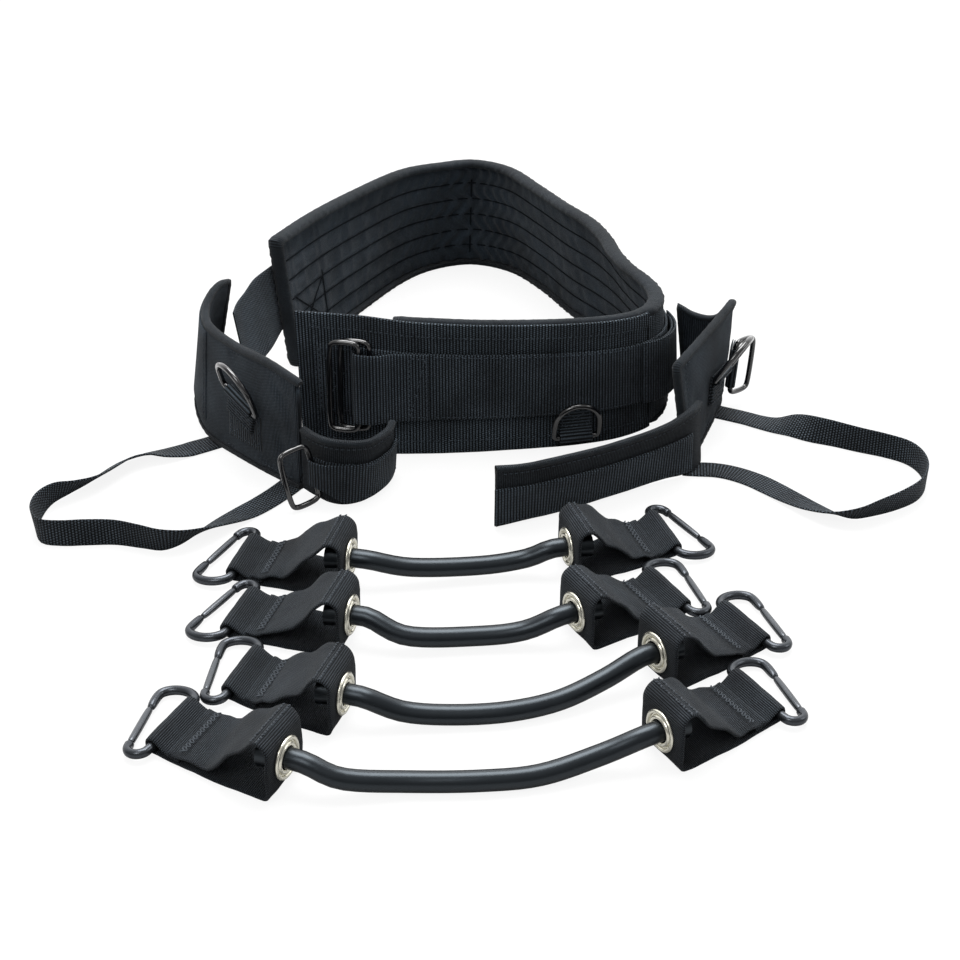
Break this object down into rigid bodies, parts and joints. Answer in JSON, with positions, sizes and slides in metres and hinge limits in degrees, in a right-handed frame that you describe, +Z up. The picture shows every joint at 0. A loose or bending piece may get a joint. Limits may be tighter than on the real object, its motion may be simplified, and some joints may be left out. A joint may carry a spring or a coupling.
{
  "type": "jump training harness",
  "caption": "Laid-out jump training set: padded waist belt with rings, an open and a closed ankle cuff with foot straps, and elastic tubes with webbing loops and spring-gate hooks.",
  "frame": {"origin": "middle of the laid-out set on the floor, at the centre of the bounding box's bottom face", "axes": "+Z up from the floor; +Y from the bands towards the belt's bend; +X to the right as the set is seen from the bands' side"},
  "size_m": [0.5902, 0.7104, 0.1],
  "materials": {
    "quilted_lining": "matte",
    "ribbed_cloth": "matte",
    "edge_binding": "matte",
    "black_webbing": "satin",
    "tab_webbing": "matte",
    "cuff_neoprene": "matte",
    "black_gloss_wire": "gloss",
    "grey_carabiner": "satin",
    "grey_gate": "satin",
    "silver_eyelet": "satin",
    "rubber_tube": "satin"
  },
  "bodies": {
    "belt": {"belt_pad": "quilted_lining", "belt_shell": "ribbed_cloth", "belt_binding": "edge_binding", "belt_webbing": "black_webbing", "belt_keeper": "black_webbing", "belt_d_tab_front": "tab_webbing", "belt_d_tab_back": "tab_webbing"},
    "belt_ring_outer": {"belt_ring_outer": "black_gloss_wire"},
    "belt_ring_inner": {"belt_ring_inner": "black_gloss_wire"},
    "belt_d_ring_front": {"belt_d_ring_front": "black_gloss_wire"},
    "belt_d_ring_back": {"belt_d_ring_back": "black_gloss_wire"},
    "cuff_left": {"cuff_left_wrap": "cuff_neoprene", "cuff_left_strap": "ribbed_cloth", "cuff_left_stirrup": "black_webbing", "cuff_left_d_tab": "tab_webbing"},
    "cuff_right": {"cuff_right_wrap": "cuff_neoprene", "cuff_right_strap": "ribbed_cloth", "cuff_right_stirrup": "black_webbing", "cuff_right_d_tab": "tab_webbing", "cuff_right_ring_tab": "tab_webbing"},
    "cuff_left_ring": {"cuff_left_ring": "black_gloss_wire"},
    "cuff_left_d_ring": {"cuff_left_d_ring": "black_gloss_wire"},
    "cuff_right_ring": {"cuff_right_ring": "black_gloss_wire"},
    "cuff_right_d_ring": {"cuff_right_d_ring": "black_gloss_wire"},
    "band_1": {"band_1_tube": "rubber_tube", "band_1_left_loop": "black_webbing", "band_1_left_eyelet": "silver_eyelet", "band_1_right_loop": "black_webbing", "band_1_right_eyelet": "silver_eyelet"},
    "band_1_left_carabiner": {"band_1_left_carabiner": "grey_carabiner"},
    "band_1_left_gate": {"band_1_left_gate": "grey_gate"},
    "band_1_right_carabiner": {"band_1_right_carabiner": "grey_carabiner"},
    "band_1_right_gate": {"band_1_right_gate": "grey_gate"},
    "band_2": {"band_2_tube": "rubber_tube", "band_2_left_loop": "black_webbing", "band_2_left_eyelet": "silver_eyelet", "band_2_right_loop": "black_webbing", "band_2_right_eyelet": "silver_eyelet"},
    "band_2_left_carabiner": {"band_2_left_carabiner": "grey_carabiner"},
    "band_2_left_gate": {"band_2_left_gate": "grey_gate"},
    "band_2_right_carabiner": {"band_2_right_carabiner": "grey_carabiner"},
    "band_2_right_gate": {"band_2_right_gate": "grey_gate"},
    "band_3": {"band_3_tube": "rubber_tube", "band_3_left_loop": "black_webbing", "band_3_left_eyelet": "silver_eyelet", "band_3_right_loop": "black_webbing", "band_3_right_eyelet": "silver_eyelet"},
    "band_3_left_carabiner": {"band_3_left_carabiner": "grey_carabiner"},
    "band_3_left_gate": {"band_3_left_gate": "grey_gate"},
    "band_3_right_carabiner": {"band_3_right_carabiner": "grey_carabiner"},
    "band_3_right_gate": {"band_3_right_gate": "grey_gate"},
    "band_4": {"band_4_tube": "rubber_tube", "band_4_left_loop": "black_webbing", "band_4_left_eyelet": "silver_eyelet", "band_4_right_loop": "black_webbing", "band_4_right_eyelet": "silver_eyelet"},
    "band_4_left_carabiner": {"band_4_left_carabiner": "grey_carabiner"},
    "band_4_left_gate": {"band_4_left_gate": "grey_gate"},
    "band_4_right_carabiner": {"band_4_right_carabiner": "grey_carabiner"},
    "band_4_right_gate": {"band_4_right_gate": "grey_gate"}
  },
  "joints": [
    {"name": "belt_outer_ring_swing", "type": "hinge", "parent": "belt", "child": "belt_ring_outer", "pos_m": [-0.08673, 0.01781, 0.053], "axis": [0.0182, 0.1026, 0.9946], "range_deg": [0, 150]},
    {"name": "belt_inner_ring_swing", "type": "hinge", "parent": "belt", "child": "belt_ring_inner", "pos_m": [-0.07962, 0.02069, 0.05257], "axis": [0.0182, 0.1026, 0.9946], "range_deg": [-7, 0]},
    {"name": "belt_front_d_ring_tilt", "type": "hinge", "parent": "belt", "child": "belt_d_ring_front", "pos_m": [0.06103, 0.02422, 0.0115], "axis": [0.9784, 0.2067, 0], "range_deg": [-5, 95]},
    {"name": "belt_back_d_ring_tilt", "type": "hinge", "parent": "belt", "child": "belt_d_ring_back", "pos_m": [-0.11611, 0.25622, 0.0115], "axis": [-0.4667, -0.8844, 0], "range_deg": [-5, 95]},
    {"name": "cuff_left_ring_swing", "type": "hinge", "parent": "cuff_left", "child": "cuff_left_ring", "pos_m": [-0.11427, -0.04532, 0.02407], "axis": [-0.2016, 0.0685, 0.9771], "range_deg": [-45, 15]},
    {"name": "cuff_left_d_ring_tilt", "type": "hinge", "parent": "cuff_left", "child": "cuff_left_d_ring", "pos_m": [-0.16601, 0.00258, 0.05096], "axis": [0.6302, -0.7158, -0.3007], "range_deg": [-15, 100]},
    {"name": "cuff_right_ring_swing", "type": "hinge", "parent": "cuff_right", "child": "cuff_right_ring", "pos_m": [0.17519, 0.08799, 0.03272], "axis": [0.0823, 0.0841, 0.993], "range_deg": [-110, 25]},
    {"name": "cuff_right_d_ring_tilt", "type": "hinge", "parent": "cuff_right", "child": "cuff_right_d_ring", "pos_m": [0.16325, 0.05629, 0.04367], "axis": [0.3978, 0.9093, -0.1224], "range_deg": [-15, 100]},
    {"name": "band_1_left_carabiner_lift", "type": "hinge", "parent": "band_1", "child": "band_1_left_carabiner", "pos_m": [-0.15287, -0.12015, 0.0052], "axis": [0.225, 0.9744, 0], "range_deg": [0, 120]},
    {"name": "band_1_left_gate_open", "type": "hinge", "parent": "band_1_left_carabiner", "child": "band_1_left_gate", "pos_m": [-0.16191, -0.09753, 0.00392], "axis": [-0.0893, 0.0206, 0.9958], "range_deg": [0, 24], "stiffness_Nm_per_rad": 0.01},
    {"name": "band_1_right_carabiner_lift", "type": "hinge", "parent": "band_1", "child": "band_1_right_carabiner", "pos_m": [0.11195, -0.09189, 0.0052], "axis": [0.3007, -0.9537, 0], "range_deg": [0, 120]},
    {"name": "band_1_right_gate_open", "type": "hinge", "parent": "band_1_right_carabiner", "child": "band_1_right_gate", "pos_m": [0.11919, -0.06863, 0.00392], "axis": [-0.0874, -0.0276, -0.9958], "range_deg": [0, 24], "stiffness_Nm_per_rad": 0.01},
    {"name": "band_2_left_carabiner_lift", "type": "hinge", "parent": "band_2", "child": "band_2_left_carabiner", "pos_m": [-0.1483, -0.18154, 0.0052], "axis": [0.2756, 0.9613, 0], "range_deg": [0, 120]},
    {"name": "band_2_left_gate_open", "type": "hinge", "parent": "band_2_left_carabiner", "child": "band_2_left_gate", "pos_m": [-0.15614, -0.15848, 0.00392], "axis": [-0.0881, 0.0253, 0.9958], "range_deg": [0, 24], "stiffness_Nm_per_rad": 0.01},
    {"name": "band_2_right_carabiner_lift", "type": "hinge", "parent": "band_2", "child": "band_2_right_carabiner", "pos_m": [0.10837, -0.1584, 0.0052], "axis": [0.4695, -0.8829, 0], "range_deg": [0, 120]},
    {"name": "band_2_right_gate_open", "type": "hinge", "parent": "band_2_right_carabiner", "child": "band_2_right_gate", "pos_m": [0.13004, -0.16954, 0.00392], "axis": [0.0809, 0.043, 0.9958], "range_deg": [0, 24], "stiffness_Nm_per_rad": 0.01},
    {"name": "band_3_left_carabiner_lift", "type": "hinge", "parent": "band_3", "child": "band_3_left_carabiner", "pos_m": [-0.14006, -0.24303, 0.0052], "axis": [0.309, 0.9511, 0], "range_deg": [0, 120]},
    {"name": "band_3_left_gate_open", "type": "hinge", "parent": "band_3_left_carabiner", "child": "band_3_left_gate", "pos_m": [-0.15945, -0.25776, 0.00392], "axis": [0.0872, -0.0283, -0.9958], "range_deg": [0, 24], "stiffness_Nm_per_rad": 0.01},
    {"name": "band_3_right_carabiner_lift", "type": "hinge", "parent": "band_3", "child": "band_3_right_carabiner", "pos_m": [0.15095, -0.19562, 0.0052], "axis": [0.5, -0.866, 0], "range_deg": [0, 120]},
    {"name": "band_3_right_gate_open", "type": "hinge", "parent": "band_3_right_carabiner", "child": "band_3_right_gate", "pos_m": [0.17299, -0.206, 0.00392], "axis": [0.0794, 0.0458, 0.9958], "range_deg": [0, 24], "stiffness_Nm_per_rad": 0.01},
    {"name": "band_4_left_carabiner_lift", "type": "hinge", "parent": "band_4", "child": "band_4_left_carabiner", "pos_m": [-0.17342, -0.29257, 0.0052], "axis": [0.4067, 0.9135, 0], "range_deg": [0, 60]},
    {"name": "band_4_left_gate_open", "type": "hinge", "parent": "band_4_left_carabiner", "child": "band_4_left_gate", "pos_m": [-0.19425, -0.30519, 0.00392], "axis": [0.0837, -0.0373, -0.9958], "range_deg": [0, 24], "stiffness_Nm_per_rad": 0.01},
    {"name": "band_4_right_carabiner_lift", "type": "hinge", "parent": "band_4", "child": "band_4_right_carabiner", "pos_m": [0.1498, -0.26533, 0.0052], "axis": [0.5, -0.866, 0], "range_deg": [0, 65]},
    {"name": "band_4_right_gate_open", "type": "hinge", "parent": "band_4_right_carabiner", "child": "band_4_right_gate", "pos_m": [0.17184, -0.2757, 0.00392], "axis": [0.0794, 0.0458, 0.9958], "range_deg": [0, 24], "stiffness_Nm_per_rad": 0.01},
    {"name": "cuff_left_lift", "type": "slide", "parent": "belt", "child": "cuff_left", "axis": [0, 0, 1], "range_m": [0, 0.15]},
    {"name": "cuff_right_lift", "type": "slide", "parent": "belt", "child": "cuff_right", "axis": [0, 0, 1], "range_m": [0, 0.15]},
    {"name": "band_1_lift", "type": "slide", "parent": "belt", "child": "band_1", "axis": [0, 0, 1], "range_m": [0, 0.15]},
    {"name": "band_2_lift", "type": "slide", "parent": "belt", "child": "band_2", "axis": [0, 0, 1], "range_m": [0, 0.15]},
    {"name": "band_3_lift", "type": "slide", "parent": "belt", "child": "band_3", "axis": [0, 0, 1], "range_m": [0, 0.15]},
    {"name": "band_4_lift", "type": "slide", "parent": "belt", "child": "band_4", "axis": [0, 0, 1], "range_m": [0, 0.15]}
  ]
}
